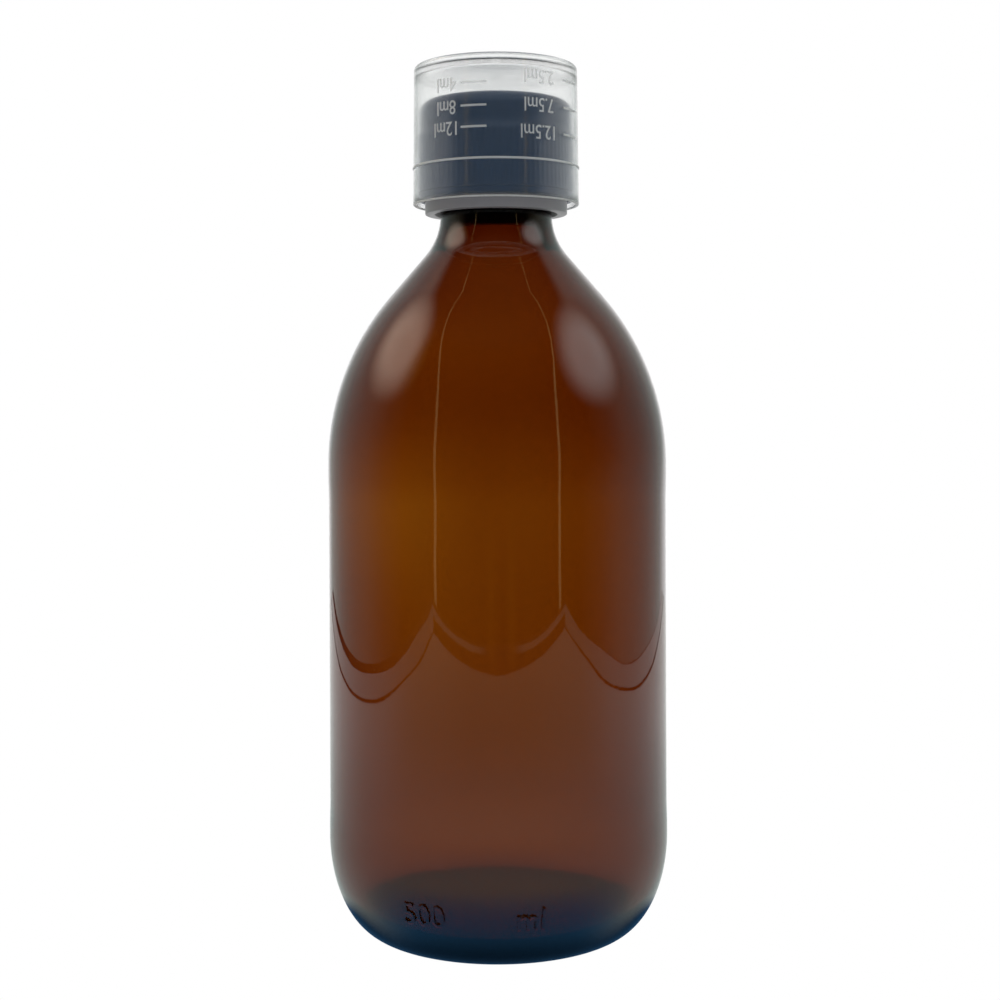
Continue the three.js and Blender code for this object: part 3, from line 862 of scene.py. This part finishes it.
# Outer cap. The navy shell that is gripped and pushed: a smooth crown over a slightly wider skirt, which
# is finely ribbed. Inside are the snap hook and the eight dogs.
SHELL_BOTTOM = 164.93
SHELL_BORE = 16.45
SHELL_RADIUS = 17.7
GRIP_HEIGHT = 14.4
GRIP_TAPER = 0.2
GRIP_STEP = 0.35
GRIP_STEP_HEIGHT = 0.6
SHELL_CORNER = 2.8
SHELL_TOP = 187.33
CROWN = 1.1
SNAP_TOP = 168.83
SNAP_HEIGHT = 1.2
SNAP_RADIUS = 15.65
SHELL_EDGE = 0.35
SHELL_INNER_EDGE = 0.15
GROOVE_HEIGHT = 1.35
GROOVE_DEPTH = 0.12
GROOVE_HALF_WIDTH = 0.25
GROOVE_HALF_FLOOR = 0.1
RIBS_ABOVE_GROOVE = 0.3
GRIP_ABOVE_GROOVE = 0.4
RIBS = 90
RIB_DEPTH = 0.035
DOGS = 8
DOG_RADIUS = 9.9
DOG_SIZE = (1.9, 5.8, 1.0)
NAVY = (0.018, 0.048, 0.107)
SHELL_AROUND = 360
grip_top = SHELL_BOTTOM + GRIP_HEIGHT
grip_top_radius = SHELL_RADIUS - GRIP_TAPER
crown_radius = grip_top_radius - GRIP_STEP
flat_radius = crown_radius - SHELL_CORNER
crown_underside = SHELL_TOP - CROWN
groove = SHELL_BOTTOM + GROOVE_HEIGHT
groove_radius = SHELL_RADIUS - GROOVE_DEPTH
shell_outside = joined([
    corner(SHELL_BORE, SHELL_BOTTOM, SHELL_INNER_EDGE, math.pi),
    corner(SHELL_RADIUS, SHELL_BOTTOM, SHELL_EDGE, -QUARTER),
    line((SHELL_RADIUS, groove - GROOVE_HALF_WIDTH), (groove_radius, groove - GROOVE_HALF_FLOOR), 2),
    line((groove_radius, groove + GROOVE_HALF_FLOOR), (SHELL_RADIUS, groove + GROOVE_HALF_WIDTH), 2),
    line((SHELL_RADIUS, groove + GRIP_ABOVE_GROOVE), (grip_top_radius, grip_top), 12),
    line((crown_radius, grip_top + GRIP_STEP_HEIGHT), (crown_radius, SHELL_TOP - SHELL_CORNER), 3),
    bow((flat_radius, SHELL_TOP - SHELL_CORNER), SHELL_CORNER, SHELL_CORNER, 0, QUARTER, 12),
    line((flat_radius, SHELL_TOP), (0, SHELL_TOP), 6),
])
shell_inside = joined([
    line((0, crown_underside), (SHELL_BORE, crown_underside), 6),
    [(SHELL_BORE, SNAP_TOP), (SNAP_RADIUS, SNAP_TOP), (SNAP_RADIUS, SNAP_TOP - SNAP_HEIGHT / 2)],
    [(SHELL_BORE, SNAP_TOP - SNAP_HEIGHT), (SHELL_BORE, SHELL_BOTTOM + SHELL_INNER_EDGE)],
])
shell_turn = round_turn(SHELL_AROUND)
shell_height = shell_outside[:, 1:2]
ribbed = (shell_height > groove + RIBS_ABOVE_GROOVE) & (shell_height < grip_top + GRIP_STEP_HEIGHT / 2)
rib_swell = np.where(ribbed, RIB_DEPTH * (np.cos(RIBS * shell_turn) - 1), 0.0)
shell = revolved(
    "outer_cap_navy", np.concatenate([shell_inside, shell_outside]), shell_turn,
    np.concatenate([np.zeros((len(shell_inside), SHELL_AROUND)), rib_swell]),
)
united(shell, [
    block(DOG_SIZE, upright(DOG_RADIUS, QUARTER + 2 * math.pi * (i + 0.5) / DOGS, crown_underside))
    for i in range(DOGS)
])
shell.data.materials.clear()
shell.data.materials.append(moulded("navy_plastic", NAVY, 0.36, SATIN_PEEL))
smooth(shell, SHARP_EDGE)
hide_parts("outer_cap")
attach(shell, "outer_cap")

# Measuring cup. Thin clear polypropylene, pushed upside down over the closure. It has a foot rim round
# its floor, a moulded ring near its mouth and two raised scales with numbers, which read upside down.
CUP_FLOOR_UNDERSIDE = 192.73
CUP_DEPTH = 28.9
CUP_BORE = 18.0
CUP_WALL = 0.8
CUP_TAPER = 0.3
CUP_FLOOR = 1.1
CUP_FOOT_HEIGHT = 1.4
CUP_FOOT_WIDTH = 1.5
CUP_CORNER = 1.0
CUP_RIM_RADIUS = 0.35
CUP_RING_DEPTH = 20.5
CUP_RING_HEIGHT = 0.5
FLOOR_FILLET = 0.5
FOOT_EDGE = 0.2
FOOT_FILLET = 0.4
MARK_HEIGHT = 0.2
MARK_WIDTH = 0.45
MARK_SWEEP = 0.31
LETTER_HEIGHT = 0.8 * MARK_HEIGHT
FROSTED_ABOVE = 0.03
LEFT_MARKS = (4.1, 9.1, 13.7)
RIGHT_MARKS = (2.5, 8.6, 14.5)
LEFT_MARK_ANGLE = math.radians(-15)
RIGHT_MARK_ANGLE = math.radians(62)
LEFT_TEXT_ANGLE = math.radians(-35.5)
RIGHT_TEXT_ANGLE = math.radians(31)
LEFT_WORDS = ("4ml", "8ml", "12ml")
RIGHT_WORDS = ("2.5ml", "7.5ml", "12.5ml")
LETTER_SIZE = 4.4
LETTER_STRETCH = 0.8
GATE_RADIUS = 1.2
GATE_HEIGHT = 0.4
CUP_AROUND = 240


def cup_outside(depth):
    """The cup's outer radius at a depth below its floor."""
    return CUP_BORE + CUP_WALL - CUP_TAPER * (1 - depth / CUP_DEPTH)


foot_outside, rim_outside = cup_outside(0), cup_outside(CUP_DEPTH)
cup_rim = CUP_FLOOR_UNDERSIDE - CUP_DEPTH
rim_middle = cup_rim + CUP_RIM_RADIUS
cup_ring = CUP_FLOOR_UNDERSIDE - CUP_RING_DEPTH
ring_radius = cup_outside(CUP_RING_DEPTH)
floor_top = CUP_FLOOR_UNDERSIDE + CUP_FLOOR
cup_top = floor_top + CUP_FOOT_HEIGHT
foot_inside = foot_outside - CUP_FOOT_WIDTH
floor_edge = foot_inside - FOOT_FILLET
bore_top = foot_outside - CUP_WALL
fillet_foot = CUP_FLOOR_UNDERSIDE - FLOOR_FILLET
cup = revolved(
    "measuring_cup_clear",
    joined([
        line((0, CUP_FLOOR_UNDERSIDE), (bore_top - FLOOR_FILLET, CUP_FLOOR_UNDERSIDE), 10),
        bow((bore_top - FLOOR_FILLET, fillet_foot), FLOOR_FILLET, FLOOR_FILLET, QUARTER, 0, 4),
        line((bore_top, fillet_foot), (rim_outside - CUP_WALL, rim_middle), 12),
        bow((rim_outside - CUP_WALL / 2, rim_middle), CUP_WALL / 2, CUP_RIM_RADIUS, -math.pi, 0, 8),
        line((rim_outside, rim_middle), (ring_radius, cup_ring - CUP_RING_HEIGHT / 2), 4),
        bow((ring_radius, cup_ring), MARK_HEIGHT, CUP_RING_HEIGHT / 2, -QUARTER, QUARTER, 6),
        line((ring_radius, cup_ring + CUP_RING_HEIGHT / 2), (foot_outside, cup_top - CUP_CORNER), 10),
        bow((foot_outside - CUP_CORNER, cup_top - CUP_CORNER), CUP_CORNER, CUP_CORNER, 0, QUARTER, 6),
        bow((foot_inside + FOOT_EDGE, cup_top - FOOT_EDGE), FOOT_EDGE, FOOT_EDGE, QUARTER, math.pi, 3),
        bow((floor_edge, floor_top + FOOT_FILLET), FOOT_FILLET, FOOT_FILLET, 0, -QUARTER, 4),
        line((floor_edge, floor_top), (GATE_RADIUS, floor_top), 8),
        line((GATE_RADIUS, floor_top + GATE_HEIGHT), (0, floor_top + GATE_HEIGHT), 2),
    ]),
    round_turn(CUP_AROUND),
)


def on_cup(angle, depth, half_turn=False, stretch=1):
    """Lays flat points on the cup's outside, round the angle and the depth below its floor. With a half
    turn they stand on their heads, as they do on a cup that is upside down."""
    flip = -1 if half_turn else 1
    radius = cup_outside(depth)

    def place(flat):
        a = angle + flip * stretch * flat[:, 0] / radius
        r = radius + flat[:, 2]
        height = CUP_FLOOR_UNDERSIDE - depth + flip * flat[:, 1]
        return np.stack([r * np.sin(a), -r * np.cos(a), height], axis=1)

    return place


def bar(sweep, width, depth, place):
    """A raised line: a closed strip in short steps, which runs round, width high and depth proud."""
    steps = 12
    x = np.linspace(-0.5, 0.5, steps + 1) * sweep
    rim = np.array([(-0.5 * width, -depth), (-0.5 * width, 0.6 * depth), (-0.2 * width, depth),
                    (0.2 * width, depth), (0.5 * width, 0.6 * depth), (0.5 * width, -depth)])
    points = np.array([(a, y, z) for a in x for y, z in rim])
    n = len(rim)
    faces = [(n * i + j, n * (i + 1) + j, n * (i + 1) + (j + 1) % n, n * i + (j + 1) % n)
             for i in range(steps) for j in range(n)]
    faces += [tuple(range(n)), tuple(n * steps + j for j in reversed(range(n)))]
    mesh = bpy.data.meshes.new("bar")
    mesh.from_pydata((place(points) * MM).tolist(), [], faces)
    return mesh


scales = []
for mark_angle, text_angle, depths, words in (
    (LEFT_MARK_ANGLE, LEFT_TEXT_ANGLE, LEFT_MARKS, LEFT_WORDS),
    (RIGHT_MARK_ANGLE, RIGHT_TEXT_ANGLE, RIGHT_MARKS, RIGHT_WORDS),
):
    for depth, word in zip(depths, words):
        sweep = MARK_SWEEP * cup_outside(depth)
        scales.append(bar(sweep, MARK_WIDTH, MARK_HEIGHT, on_cup(mark_angle, depth)))
        along_word = on_cup(text_angle, depth, half_turn=True, stretch=LETTER_STRETCH)
        scales.append(bent_text(word, LETTER_SIZE, LETTER_HEIGHT, along_word))
united(cup, scales)


PLASTIC_IOR = 1.49
PASSED_LIGHT = (0.93, 0.93, 0.93, 1)


def clear_plastic(name, tint, transmission, roughness):
    """Clear moulded plastic with a faint flow pattern. Light for other surfaces passes straight through."""
    material, tree, shader, output = node_material(name)
    shader.inputs["Base Color"].default_value = (*tint, 1)
    shader.inputs["Roughness"].default_value = roughness
    shader.inputs["IOR"].default_value = PLASTIC_IOR
    shader.inputs["Transmission Weight"].default_value = transmission
    skin = placed(tree, flowed_skin, {
        "Swell Scale": 130, "Swell Depth": 0.0003, "Swell Strength": 0.16,
        "Ripple Scale": 1200, "Ripple Strength": 0.2,
    })
    feed(tree, skin["Normal"], shader.inputs["Normal"])
    paths = tree.nodes.new("ShaderNodeLightPath")
    straight = tree.nodes.new("ShaderNodeBsdfTransparent")
    straight.inputs["Color"].default_value = PASSED_LIGHT
    either = tree.nodes.new("ShaderNodeMixShader")
    passing = reckon(tree, "MAXIMUM", paths.outputs["Is Shadow Ray"], paths.outputs["Is Diffuse Ray"])
    feed(tree, passing, either.inputs["Fac"])
    tree.links.new(shader.outputs["BSDF"], either.inputs[1])
    tree.links.new(straight.outputs["BSDF"], either.inputs[2])
    tree.links.new(either.outputs["Shader"], output.inputs["Surface"])
    return material


# The wall is clear. The raised marks and the mouth's edge are frosted, so they catch the light.
CLEAR_TINT = (0.955, 0.965, 0.965)
FROSTED_TINT = (0.90, 0.92, 0.94)
cup.data.materials.clear()
cup.data.materials.append(clear_plastic("clear_plastic", CLEAR_TINT, transmission=0.988, roughness=0.14))
cup.data.materials.append(clear_plastic("frosted_marks", FROSTED_TINT, transmission=0.5, roughness=0.5))
centres = np.empty(len(cup.data.polygons) * 3)
cup.data.polygons.foreach_get("center", centres)
centres = centres.reshape(-1, 3) / MM
wall_there = cup_outside(CUP_FLOOR_UNDERSIDE - centres[:, 2])
proud = np.hypot(centres[:, 0], centres[:, 1]) > wall_there + FROSTED_ABOVE
below_floor = centres[:, 2] < CUP_FLOOR_UNDERSIDE
at_rim = centres[:, 2] < rim_middle
cup.data.polygons.foreach_set("material_index", ((proud & below_floor) | at_rim).astype(np.int32))
smooth(cup, SHARP_EDGE)
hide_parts("measuring_cup")
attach(cup, "measuring_cup")
